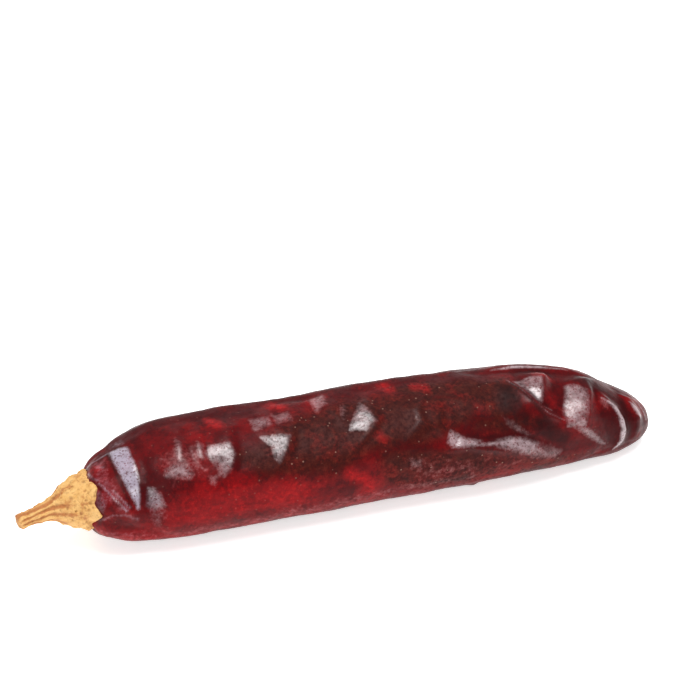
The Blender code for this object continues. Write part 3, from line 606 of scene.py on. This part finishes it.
def fold_relief(skin, normals, path, height, left, right):
    """How far one fold lifts each point: a crest with hollow flanks, gone one width away."""
    steps = np.linspace(0, 1, 33)
    knots = np.linspace(0, 1, len(path))
    along = np.interp(steps, knots, [p[0] for p in path])
    degrees = np.interp(steps, knots, [p[1] for p in path])
    line = skin_at(along, degrees)
    reach = max(left, right)
    low, high = line.min(axis=0) - reach, line.max(axis=0) + reach
    close = np.flatnonzero(((skin > low) & (skin < high)).all(axis=1))
    points, outwards = skin[close], normals[close]
    nearest = np.full(len(close), 1e9)
    side = np.zeros(len(close))
    place = np.zeros(len(close))
    for k, (start, end) in enumerate(zip(line[:-1], line[1:])):
        way = end - start
        t = np.clip((points - start) @ way / (way @ way), 0, 1)
        off = points - (start + t[:, None] * way)
        distance = np.linalg.norm(off, axis=1)
        closer = distance < nearest
        nearest[closer] = distance[closer]
        side[closer] = (np.cross(outwards, way) * off).sum(axis=1)[closer]
        place[closer] = ((k + t) / (len(line) - 1))[closer]
    width = np.where(side > 0, left, right)
    fade = np.clip(np.minimum(place, 1 - place) * 5, 0, 1) ** 0.7
    rounded = np.sqrt(nearest**2 + FOLD_ROUNDING**2) - FOLD_ROUNDING
    relief = np.zeros(len(skin))
    relief[close] = height * fade * np.clip(1 - rounded / width, 0, 1) ** 1.6
    return relief


def spot(skin, along, degrees, length, width, turn):
    """How deep each point lies in an oval spot of the skin: 1 in its middle, 0 at its edge."""
    here, ahead, over = skin_at([along, along + 0.5, along], [degrees, degrees, degrees + 2.0])
    lengthways = (ahead - here) / np.linalg.norm(ahead - here)
    round_it = (over - here) - ((over - here) @ lengthways) * lengthways
    round_it /= np.linalg.norm(round_it)
    turned = math.radians(turn)
    main = math.cos(turned) * lengthways + math.sin(turned) * round_it
    cross = -math.sin(turned) * lengthways + math.cos(turned) * round_it
    off = skin - here
    reach = (
        (off @ main / (length / 2)) ** 2
        + (off @ cross / (width / 2)) ** 2
        + (off @ np.cross(main, cross) / width) ** 2
    )
    return np.clip(1 - reach, 0, 1)


def pucker_relief(skin, angles):
    """The gathers that run out from under the calyx."""
    off = np.linalg.norm(skin - np.array(STALK_SEAT), axis=1)
    past = (off - PUCKER_PEAK) / (PUCKER_REACH - PUCKER_PEAK)
    strength = np.clip(off / PUCKER_PEAK, 0, 1) * np.clip(1 - past, 0, 1)
    uneven = PUCKERS * angles + 0.8 * np.sin(2 * angles)
    return -PUCKER_DEPTH * strength * (0.5 + 0.5 * np.cos(uneven))


def dent_depth(skin):
    """The depth of the deepest dent at each point."""
    found = np.zeros(len(skin))
    for along, degrees, length, width, turn, depth in DENTS:
        found = np.maximum(found, depth * spot(skin, along, degrees, length, width, turn))
    return found


def patch_strength(along, degrees, patches):
    """The strength of the strongest patch at each point of the skin, and 0 outside them all."""
    found = np.zeros(along.shape)
    across = degrees * ARC
    for strength, soft, half_width, corners in patches:
        corners = np.array(corners, float) * (1.0, ARC)
        low, high = corners.min(axis=0) - soft - half_width, corners.max(axis=0) + soft + half_width
        near = np.flatnonzero(
            (along > low[0]) & (along < high[0]) & (across > low[1]) & (across < high[1])
        )
        x, y = along[near], across[near]
        starts = corners if half_width == 0 else corners[:-1]
        ends = np.roll(corners, -1, axis=0) if half_width == 0 else corners[1:]
        distance = np.full(len(near), 1e9)
        inside = np.zeros(len(near), bool)
        for (ax, ay), (bx, by) in zip(starts, ends):
            t = ((x - ax) * (bx - ax) + (y - ay) * (by - ay)) / ((bx - ax) ** 2 + (by - ay) ** 2)
            t = np.clip(t, 0, 1)
            off = np.hypot(x - ax - t * (bx - ax), y - ay - t * (by - ay))
            distance = np.minimum(distance, off)
            if half_width == 0 and ay != by:
                inside ^= ((ay > y) != (by > y)) & (x < (bx - ax) * (y - ay) / (by - ay) + ax)
        depth = np.where(inside, distance, -distance) + half_width
        share = np.clip(depth / soft + 0.5, 0, 1)
        found[near] = np.maximum(found[near], strength * share)
    return found


def degrees_from(lowest, angles):
    """Angles in degrees, counted up from the lowest one."""
    return (np.degrees(angles) - lowest) % 360 + lowest


def along_the_line(rows, places):
    """Values read off a closed table of rows at places in degrees."""
    table = np.array([(r[0] + turn, *r[1:]) for turn in (-360, 0, 360) for r in rows], float)
    return [np.interp(places, table[:, 0], column) for column in table.T[1:]]


def stalk_surface(shares, angles):
    """Points of the calyx and stalk in mm, their grooves' depth and their reach."""
    outline = smooth_through(STALK_OUTLINE, shares)
    reach, radius = outline[:, 0], np.maximum(outline[:, 1], 0)
    spread = np.clip(outline[:, 2], 0, 1)
    degrees = degrees_from(-100, angles)
    rim_radius, rim_place = along_the_line(RIM, degrees)
    rags = RAGS * np.sin(np.radians(degrees * 11)) * np.sin(np.radians(degrees * 4 + 40))
    rim_radius = rim_radius + rags + FRINGE * np.sin(np.radians(degrees * 23 + 70))
    rim_place = rim_place - RIM_TUCK + rags * 0.5
    radius = radius + spread * (rim_radius - radius)
    reach = reach + spread * (rim_place + 20 - RIM_REACH)
    grooves = np.zeros(len(shares))
    for at, half_width, depth in STALK_GROOVES:
        bend = GROOVE_BEND * np.sin(reach * 0.45 + at)
        off = np.abs((degrees - at - bend + 180) % 360 - 180) / half_width
        grooves = np.maximum(grooves, depth * np.clip(1 - off, 0, 1) ** 0.8)
    fine = FIBRES * np.abs(np.sin(np.radians(degrees * 9 + 30 * np.sin(reach * 0.3))))
    along_stalk = np.clip((reach - 0.1) / 1.0, 0.15, 1) * np.clip((13.5 - reach) / 4, 0.15, 1)
    lumps = LUMPS * np.sin(reach * 1.5 + 3 * angles) * np.sin(reach * 0.8 - 2 * angles + 1.0)
    lumps = lumps * np.clip((reach - CAP_START) / 3, 0, 1) * (shares < 0.9)
    radius = np.maximum(radius + lumps - (grooves + fine) * along_stalk * (radius > 1), 0)
    out = 1 - reach / STALK_LENGTH
    slope = np.clip(out, 0, None)
    axis = np.stack(
        [
            STALK_SEAT[0] - STALK_LENGTH * out,
            STALK_SEAT[1] + STALK_LEAN_Y * slope**2,
            STALK_SEAT[2] + STALK_LEAN_Z * slope**2,
        ],
        axis=1,
    )
    way = np.stack(
        [np.full(len(out), STALK_LENGTH), -2 * STALK_LEAN_Y * slope, -2 * STALK_LEAN_Z * slope],
        axis=1,
    )
    way /= np.linalg.norm(way, axis=1, keepdims=True)
    front = np.cross(way, np.array([0.0, 0.0, 1.0]))
    front /= np.linalg.norm(front, axis=1, keepdims=True)
    top = np.cross(front, way)
    outwards = np.cos(angles)[:, None] * front + np.sin(angles)[:, None] * top
    return axis + radius[:, None] * outwards, grooves * along_stalk, reach


def lines_relief(along, degrees):
    """The relief of the front and top: flat facets stretched between the lines of the table."""
    corners, ties = [], []
    for _, line in SKIN_LINES:
        ties += [(len(corners) + k, len(corners) + k + 1) for k in range(len(line) - 1)]
        corners += line
    low, high = LINES_REACH[0], LINES_REACH[-1]
    for at in np.linspace(*NET_ENDS, 12):
        corners += [(at, low, 0.0), (at, high, 0.0)]
    for at in np.linspace(low, high, 8)[1:-1]:
        corners += [(end, at, 0.0) for end in NET_ENDS]
    flat = [Vector((c[0], c[1] * ARC)) for c in corners]
    found, _, facets, origins, _, _ = delaunay_2d_cdt(flat, ties, [], 0, 1e-4)
    heights = [np.mean([corners[k][2] for k in own]) if own else 0.0 for own in origins]
    relief = np.zeros(along.shape)
    across = degrees * ARC
    for facet in facets:
        (ax, ay), (bx, by), (cx, cy) = (found[k] for k in facet)
        area = (bx - ax) * (cy - ay) - (cx - ax) * (by - ay)
        if abs(area) < 1e-9:
            continue
        second = ((along - ax) * (cy - ay) - (cx - ax) * (across - ay)) / area
        third = ((bx - ax) * (across - ay) - (along - ax) * (by - ay)) / area
        inside = (second >= -1e-6) & (third >= -1e-6) & (second + third <= 1 + 1e-6)
        at_a, at_b, at_c = (heights[k] for k in facet)
        relief[inside] = (at_a + second * (at_b - at_a) + third * (at_c - at_a))[inside]
    return relief


def soften(grid, rounds):
    """A grid of heights with its edges rounded; its second axis runs round the pod."""
    for _ in range(rounds):
        grid = (2 * grid + np.roll(grid, 1, axis=1) + np.roll(grid, -1, axis=1)) / 4
        ends = np.concatenate([grid[:1], grid, grid[-1:]])
        grid = (2 * ends[1:-1] + ends[:-2] + ends[2:]) / 4
    return grid


def pod_relief(rings, sides):
    """The height of the skin's relief on a grid of the pod's rings and sides."""
    shares, angles = np.meshgrid(
        np.linspace(0, 1, rings + 1), np.arange(sides) * 2 * math.pi / sides, indexing="ij"
    )
    shape = shares.shape
    shares, angles = shares.ravel(), angles.ravel()
    skin = pod_skin(shares, angles)
    normals = skin_normals(shares, angles)
    gathers = pucker_relief(skin, angles)
    back = -dent_depth(skin)
    for _, path, height, left, right in FOLDS:
        back += fold_relief(skin, normals, path, height, left, right)
    degrees = degrees_from(-110, angles)
    front = lines_relief(skin[:, 0], degrees)
    share = np.interp(degrees, LINES_REACH, (0.0, 1.0, 1.0, 0.0))
    share = share * share * (3 - 2 * share)
    relief = gathers + share * front + (1 - share) * back
    return soften(relief.reshape(shape), EDGE_ROUNDS)


def deselect_all():
    """Nothing is selected, and no object is active."""
    bpy.ops.object.select_all(action="DESELECT")
    bpy.context.view_layer.objects.active = None


def points_of(piece):
    """The places of the mesh's points."""
    points = np.empty(len(piece.data.vertices) * 3, np.float32)
    piece.data.vertices.foreach_get("co", points)
    return points.reshape(-1, 3)


def set_points(piece, points):
    """Moves the mesh's points to new places."""
    piece.data.vertices.foreach_set("co", points.astype(np.float32).ravel())
    piece.data.update()


def sphere_to_shape(name, sides, rings):
    """A sphere primitive, and for each of its points the share of the way from pole to pole and
    the angle round it."""
    deselect_all()
    bpy.ops.mesh.primitive_uv_sphere_add(segments=sides, ring_count=rings, radius=1.0)
    piece = bpy.context.active_object
    piece.name = name
    piece.data.name = name
    ball = points_of(piece).astype(float)
    shares = 1 - np.arccos(np.clip(ball[:, 2], -1, 1)) / math.pi
    return piece, shares, math.pi - np.arctan2(ball[:, 1], ball[:, 0])


def place_points(piece, points):
    """Moves the mesh's points to places in mm of the pod's own measures."""
    set_points(piece, (points - PART_ORIGIN) * MM)


def store(piece, name, values):
    """Keeps one number for each point of the mesh, for its material to read."""
    attribute = piece.data.attributes.new(name, "FLOAT", "POINT")
    attribute.data.foreach_set("value", values.astype(np.float32))


def recalculate_normals(piece):
    """Turns every face of the closed mesh outwards."""
    bpy.ops.object.mode_set(mode="EDIT")
    bpy.ops.mesh.select_all(action="SELECT")
    bpy.ops.mesh.normals_make_consistent(inside=False)
    bpy.ops.object.mode_set(mode="OBJECT")


def roughen(piece, name, kind, size, depth):
    """Displaces the mesh along its normals by a procedural texture, and applies it."""
    texture = bpy.data.textures.new(name, kind)
    texture.noise_scale = size
    push = piece.modifiers.new(name, "DISPLACE")
    push.texture = texture
    push.texture_coords = "LOCAL"
    push.direction = "NORMAL"
    push.strength = depth
    push.mid_level = 0.5
    bpy.ops.object.modifier_apply(modifier=push.name)
    bpy.data.textures.remove(texture)


def keep_in_box(piece):
    """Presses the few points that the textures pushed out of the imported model's box back to it."""
    set_points(piece, np.clip(points_of(piece), *CAD_BOX))


def give(node, given):
    """Gives a node's inputs, by name or number, a value or another node's output."""
    for key, value in given.items():
        if isinstance(value, bpy.types.NodeSocket):
            node.id_data.links.new(value, node.inputs[key])
        elif value is not None:
            node.inputs[key].default_value = value


def add_node(tree, kind, *given, out=0, **settings):
    """Adds a node to a material and returns one of its outputs. The values and links go to its
    inputs in their order, where None leaves one as it is. The settings are the node's own."""
    made = tree.nodes.new(kind)
    for name, value in settings.items():
        setattr(made, name, value)
    give(made, dict(enumerate(given)))
    return made.outputs[out]


def new_material(name):
    """A new material, its shader, the object's own coordinates and what adds a node to it."""
    material = bpy.data.materials.new(name)
    material.use_nodes = True
    add = partial(add_node, material.node_tree)
    place = add("ShaderNodeTexCoord", out="Object")
    return material, material.node_tree.nodes["Principled BSDF"], place, add


# What each kind of node is given, in the order of its inputs. Noise and cells: place, nothing,
# 1 / size in metres, detail, roughness. Range: value, the two ends of its range and what they
# become. Mix: share, five inputs that colours leave unused, the colour below and the one over it.
NOISE, CELLS, RANGE = "ShaderNodeTexNoise", "ShaderNodeTexVoronoi", "ShaderNodeMapRange"
MATH, MIX, BUMP = "ShaderNodeMath", "ShaderNodeMix", "ShaderNodeBump"
STORED = "ShaderNodeAttribute"
UNUSED = (None,) * 5
COLOURS = {"data_type": "RGBA", "out": 2}
SMOOTH = {"interpolation_type": "SMOOTHSTEP"}
PLUS, TIMES, TIMES_PLUS, HIGHER = (
    {"operation": kind} for kind in ("ADD", "MULTIPLY", "MULTIPLY_ADD", "MAXIMUM")
)


def pepper_skin(settings):
    """Dried pepper skin: a waxy cuticle shrunk onto leathery flesh. It is dark and half glossy with
    a fine grain, glows red where it dried thin, and is dull and speckled where it weathered. Painted
    highlights make it pale where the light glints off its facets, and painted shade darkens its
    folds."""
    material, shader, place, add = new_material("dried_pepper_skin")
    # Masks stored on the mesh: thin skin, weathered skin, the hollows that take painted shade, the
    # painted highlights, and the painted shade of the folds.
    thin, weathered, crease, lifted, painted_shade = (
        add(STORED, attribute_name=name, out="Fac")
        for name in ("thin", "weathered", "crease", "lifted", "painted_shade")
    )

    # Clouds of 12 mm, blotches of 3.5 mm, mottles of 1.8 mm, specks of 0.9 mm, grain of 0.5 mm.
    clouds, blotches, mottles, specks, grain = (
        add(NOISE, place, None, 1 / size, detail, roughness)
        for size, detail, roughness in (
            (0.012, 3, 0.5),
            (0.0035, 5, 0.6),
            (0.0018, 4, 0.6),
            (0.0009, 3, 0.65),
            (0.0005, 2, 0.6),
        )
    )

    # The flesh under the skin is dark maroon, redder in clouds. Weathered skin has a ragged edge.
    cloudy = add(RANGE, clouds, 0.40, 0.70, 0, 0.75)
    ragged = add(MATH, blotches, 0.9, weathered, **TIMES_PLUS)
    dull = add(RANGE, ragged, 0.5, 1.15, **SMOOTH)

    # Thin skin lets the red through, in a soft ragged patch mottled by the specks.
    ragged = thin
    for noise, share in ((blotches, 1.1), (clouds, 0.5), (specks, 0.3)):
        ragged = add(MATH, noise, share, ragged, **TIMES_PLUS)
    glow = add(RANGE, ragged, 0.95, 2.1)
    thinnest = add(RANGE, specks, 0.52, 0.68, 0, 0.4, **SMOOTH)
    spark = add(MATH, thinnest, glow, **TIMES)

    # Dark specks all over, tan ones, and corky dots of about 0.4 mm, one in every 2.2 mm. Each has
    # where its marks start and are full, their strength, and its shares on sound and dull skin.
    mixed = add(MATH, specks, mottles, **PLUS)
    mixed = add(MATH, mixed, 0.5, **TIMES)
    cells = add(CELLS, place, None, 1 / 0.0022, out="Distance")
    marks = []
    for source, edge, start, full, strength, sound, worn in (
        (mixed, "SMOOTHSTEP", 0.52, 0.36, 0.8, 0.4, 0.65),
        (mixed, "SMOOTHSTEP", 0.50, 0.64, 1.0, 0.03, 0.22),
        (cells, "LINEAR", 0.12, 0.06, 1.0, 0.15, 0.6),
    ):
        mark = add(RANGE, source, start, full, 0, strength, interpolation_type=edge)
        amount = add(RANGE, dull, 0, 1, sound, worn)
        marks.append(add(MATH, mark, amount, **TIMES))
    dark, tan, dots = marks

    # Painted highlights: on these patches the colour is painted pale, lilac-grey at the calyx end,
    # with small dull pits, and the skin is far glossier there.
    ragged = lifted
    for noise, share in ((specks, 0.5), (blotches, 0.4)):
        ragged = add(MATH, noise, share, ragged, **TIMES_PLUS)
    highlight_patch = add(RANGE, ragged, 0.6, 1.45)
    pits = add(RANGE, grain, 0.34, 0.48, 0.3, **SMOOTH)
    highlight_patch = add(MATH, highlight_patch, pits, **TIMES)
    uneven = add(RANGE, mottles, 0.35, 0.65, 0.1, 0.42)
    chalky_highlight = add(RANGE, lifted, 0.9, 1.5, 0, 0.35)
    uneven = add(MATH, uneven, chalky_highlight, **PLUS)
    painted_highlight = add(MATH, highlight_patch, uneven, **TIMES)
    end = add("ShaderNodeSeparateXYZ", place, out="X")
    end = add(RANGE, end, -0.0445, -0.05)
    cuticle = add(MIX, end, *UNUSED, settings.lifted[:], settings.cool_highlight[:], **COLOURS)
    crest = add(RANGE, crease, -0.05, -0.35, 0, 0.22)
    film = add(MATH, highlight_patch, crest, **HIGHER)

    # Painted shade: the colour is darkened in the creases' hollows and along the shaded folds.
    painted_shade = add(MATH, painted_shade, 0.8, **TIMES)
    depth = add(RANGE, crease, 0.05, 0.45, 0, 0.8)
    depth = add(MATH, painted_shade, depth, **HIGHER)

    colour = settings.maroon[:]
    for share, over in (
        (cloudy, settings.red[:]),
        (dull, settings.brown[:]),
        (glow, settings.thin_red[:]),
        (spark, settings.spark[:]),
        (dark, settings.speck[:]),
        (tan, settings.speckle[:]),
        (dots, settings.dot[:]),
        (painted_highlight, cuticle),
        (depth, settings.crease[:]),
    ):
        colour = add(MIX, share, *UNUSED, colour, over, **COLOURS)

    # Weathered and specked skin is rougher.
    gloss = add(RANGE, blotches, 0.3, 0.7, 0.30, 0.42)
    for rough, share in ((dull, 0.12), (dark, 0.3)):
        gloss = add(MATH, rough, share, gloss, **TIMES_PLUS)

    # The cuticle's grain of about 0.5 mm, with pits where the dark specks are.
    height = add(MATH, grain, 0.5, specks, **TIMES_PLUS)
    bump = add(BUMP, 0.16, 0.0002, None, height)
    give(shader, {"Base Color": colour, "Roughness": gloss, "IOR": 1.18, "Normal": bump})
    give(shader, {"Coat Weight": film, "Coat Roughness": 0.26, "Coat IOR": 1.8})
    give(shader, {"Coat Normal": bump})
    return material


def dry_calyx_fibre(settings):
    """Dry calyx fibre: woody, matt and straw-coloured, with rusty grooves and small dark pits."""
    material, shader, place, add = new_material("dry_calyx_fibre")
    groove, pit, high = (
        add(STORED, attribute_name=name, out="Fac") for name in ("groove", "pit", "weathered")
    )
    stretched = add("ShaderNodeMapping", place, None, None, (0.14, 1.0, 1.0))

    # Fibres of 0.7 mm, seven times as long along the stalk, mottling of 2 mm and grain of 0.6 mm.
    fibres = add(NOISE, stretched, None, 1 / 0.0007, 3, 0.6)
    mottle = add(NOISE, place, None, 1 / 0.002, 5, 0.6)
    fine = add(NOISE, place, None, 1 / 0.0006, 2, 0.5)
    streaks = add(RANGE, mottle, 0.35, 0.65)
    patchy = add(RANGE, mottle, 0.5, 0.32, 0, 0.45)
    # The rust colour also takes the painted shade on the stalk's top and the darker cut end.
    rust = add(MATH, groove, 2.6, fibres, **TIMES_PLUS)
    for more in (high, patchy):
        rust = add(MATH, rust, more, **PLUS)
    rust = add(RANGE, rust, 0.62, 1.25, 0, 0.85, **SMOOTH)
    spots = add(RANGE, fine, 0.46, 0.32, 0, 0.35, **SMOOTH)
    hole = add(MATH, pit, spots, **HIGHER)

    colour = settings.straw[:]
    for share, over in (
        (streaks, settings.pale_straw[:]),
        (rust, settings.rust[:]),
        (hole, settings.pit[:]),
    ):
        colour = add(MIX, share, *UNUSED, colour, over, **COLOURS)
    matt = add(RANGE, mottle, 0.3, 0.7, 0.6, 0.8)
    height = add(MATH, fibres, fine, **PLUS)
    bump = add(BUMP, 0.7, 0.0003, None, height)
    give(shader, {"Base Color": colour, "Roughness": matt, "Normal": bump})
    return material


def light_table_acrylic(settings):
    """Opal acrylic of a light table: cast smooth, half matt, and lit evenly from below, so that it
    is white and takes only a faint shadow."""
    material, shader, place, add = new_material("opal_acrylic")
    grain = add(NOISE, place, None, 1 / 0.002, 2, 0.5)
    matt = add(RANGE, grain, 0.3, 0.7, 0.55, 0.6)
    give(shader, {"Roughness": matt, "Base Color": settings.table[:]})
    give(shader, {"Emission Color": settings.table[:], "Emission Strength": settings.table_glow})
    return material


class CHILLI_OT_pod(bpy.types.Operator):
    """Model the pod's folded skin and give it its finish"""

    bl_idname = "chilli.add_pod"
    bl_label = "Add Pod"

    def execute(self, context):
        settings = context.scene.chilli_pod
        pod, shares, angles = sphere_to_shape("pod_skin", settings.sides, settings.rings)
        skin = pod_skin(shares, angles)
        relief = pod_relief(settings.rings, settings.sides)
        ring = np.rint(shares * settings.rings).astype(int)
        side = np.rint(angles / (2 * math.pi) * settings.sides).astype(int) % settings.sides
        lifted = skin + skin_normals(shares, angles) * relief[ring, side][:, None]
        lifted[:, 2] = np.maximum(lifted[:, 2], 0)
        place_points(pod, lifted)
        recalculate_normals(pod)
        # How far each point lies below its softened surroundings: the material paints shade into
        # these hollows, and glosses the crests.
        hollow = soften(relief, HOLLOW_ROUNDS) - relief
        store(pod, "crease", hollow[ring, side])
        degrees = degrees_from(-110, angles)
        # Masks of the painted highlights, the thin red skin, the weathered skin and the painted
        # shade.
        for name, patches in (
            ("lifted", PAINTED_HIGHLIGHT_SKIN),
            ("thin", THIN_SKIN),
            ("weathered", WEATHERED_SKIN),
            ("painted_shade", PAINTED_SHADE_SKIN),
        ):
            store(pod, name, patch_strength(skin[:, 0], degrees, patches))
        roughen(pod, "swell", "CLOUDS", settings.swell_size, settings.swell_depth)
        roughen(pod, "crumple", "CLOUDS", settings.crumple_size, settings.crumple_depth)
        keep_in_box(pod)
        bpy.ops.object.shade_smooth()
        pod.data.materials.append(pepper_skin(settings))
        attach(pod, "root")
        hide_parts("pod")
        return {"FINISHED"}


class CHILLI_OT_calyx(bpy.types.Operator):
    """Model the dry calyx with its cut stalk and give it its finish"""

    bl_idname = "chilli.add_calyx"
    bl_label = "Add Calyx and Stalk"

    def execute(self, context):
        settings = context.scene.chilli_calyx
        calyx, shares, angles = sphere_to_shape("calyx_with_stalk", settings.sides, settings.rings)
        points, grooves, reach = stalk_surface(shares, angles)
        cap = np.flatnonzero((reach > CAP_START + 1.0) & (shares < 0.88))
        pits = np.zeros(len(points))
        chance = np.random.default_rng(PIT_SEED)
        for middle in chance.choice(cap, PITS):
            size = chance.uniform(*PIT_RADII)
            off = np.linalg.norm(points - points[middle], axis=1) / size
            pits = np.maximum(pits, np.clip(1 - off**2, 0, 1))
        inwards = np.array(STALK_SEAT) - points
        inwards[:, 0] = 0
        inwards /= np.maximum(np.linalg.norm(inwards, axis=1, keepdims=True), 1e-9)
        place_points(calyx, points + inwards * (pits * PIT_DENT)[:, None])
        recalculate_normals(calyx)
        store(calyx, "groove", grooves)
        store(calyx, "pit", pits * PIT_DARKNESS)
        # Painted shade on the top of the stalk and a darker cut end, stored under the name
        # weathered.
        top = np.clip(np.sin(angles - 0.25), 0, 1) ** 3 * np.clip((11 - reach) / 5, 0, 1)
        end = np.clip(1 - reach / 1.2, 0, 1)
        store(calyx, "weathered", TOP_PAINTED_SHADE * top + END_DARKNESS * end)
        roughen(calyx, "pits", "CLOUDS", settings.pit_size, settings.pit_depth)
        keep_in_box(calyx)
        bpy.ops.object.shade_smooth()
        calyx.data.materials.append(dry_calyx_fibre(settings))
        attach(calyx, "root")
        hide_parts("calyx_stalk")
        return {"FINISHED"}


class CHILLI_OT_stage(bpy.types.Operator):
    """Add the light table, the three softboxes and the camera"""

    bl_idname = "chilli.add_stage"
    bl_label = "Add Stage"

    def execute(self, context):
        settings = context.scene.chilli_stage
        deselect_all()
        bpy.ops.mesh.primitive_plane_add(size=6.0)
        table = context.active_object
        table.name = "table_top"
        table.data.materials.append(light_table_acrylic(settings))

        for name, place, size, power in (
            ("overhead", (0.02, -0.04, settings.light_height), (0.45, 0.90), settings.light_power),
            ("left", (-0.50, -0.62, 0.50), (0.35, 0.35), settings.fill_power),
            ("behind", (0.10, 0.90, 0.42), (1.20, 0.40), settings.rim_power),
        ):
            bpy.ops.object.light_add(type="AREA", location=place)
            softbox = context.active_object
            softbox.name = "softbox_" + name
            softbox.rotation_euler = Vector(place).to_track_quat("Z", "Y").to_euler()
            softbox.data.shape = "RECTANGLE"
            softbox.data.size, softbox.data.size_y = size
            softbox.data.energy = power

        world = bpy.data.worlds.new("studio")
        context.scene.world = world
        world.use_nodes = True
        white = {"Color": linear("#FFFFFF"), "Strength": settings.room_light}
        give(world.node_tree.nodes["Background"], white)
        context.scene.view_settings.view_transform = "Standard"

        azimuth, elevation = settings.azimuth, settings.elevation
        back = Vector(
            (
                math.sin(azimuth) * math.cos(elevation),
                -math.cos(azimuth) * math.cos(elevation),
                math.sin(elevation),
            )
        )
        right = Vector((math.cos(azimuth), math.sin(azimuth), 0.0))
        up = back.cross(right)
        bpy.ops.object.camera_add(location=MIDDLE + back * settings.distance)
        camera = context.active_object
        camera.name = "camera"
        aim = MIDDLE + up * settings.drop + right * SIDESTEP
        camera.rotation_euler = (camera.location - aim).to_track_quat("Z", "Y").to_euler()
        camera.data.lens = settings.lens
        camera.data.sensor_width = 36.0
        camera.data.clip_start = 0.01
        context.scene.camera = camera
        return {"FINISHED"}


class CHILLI_PT_sidebar(bpy.types.Panel):
    """Lists the pepper's pieces and their settings."""

    bl_idname = "CHILLI_PT_sidebar"
    bl_label = "Dried Chilli Pepper"
    bl_space_type = "VIEW_3D"
    bl_region_type = "UI"
    bl_category = "Chilli"

    def draw(self, context):
        for operator, group in (
            (CHILLI_OT_pod, context.scene.chilli_pod),
            (CHILLI_OT_calyx, context.scene.chilli_calyx),
            (CHILLI_OT_stage, context.scene.chilli_stage),
        ):
            box = self.layout.box()
            box.operator(operator.bl_idname)
            for name in group.__annotations__:
                box.prop(group, name)


CLASSES = (
    PodSettings,
    CalyxSettings,
    StageSettings,
    CHILLI_OT_pod,
    CHILLI_OT_calyx,
    CHILLI_OT_stage,
    CHILLI_PT_sidebar,
)


def register():
    for each in CLASSES:
        bpy.utils.register_class(each)
    bpy.types.Scene.chilli_pod = bpy.props.PointerProperty(type=PodSettings)
    bpy.types.Scene.chilli_calyx = bpy.props.PointerProperty(type=CalyxSettings)
    bpy.types.Scene.chilli_stage = bpy.props.PointerProperty(type=StageSettings)


def unregister():
    del bpy.types.Scene.chilli_stage
    del bpy.types.Scene.chilli_calyx
    del bpy.types.Scene.chilli_pod
    for each in reversed(CLASSES):
        bpy.utils.unregister_class(each)


def main():
    """Builds the pepper and its stage."""
    register()
    bpy.ops.chilli.add_pod()
    bpy.ops.chilli.add_calyx()
    bpy.ops.chilli.add_stage()
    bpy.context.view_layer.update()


if __name__ == "__main__":
    main()
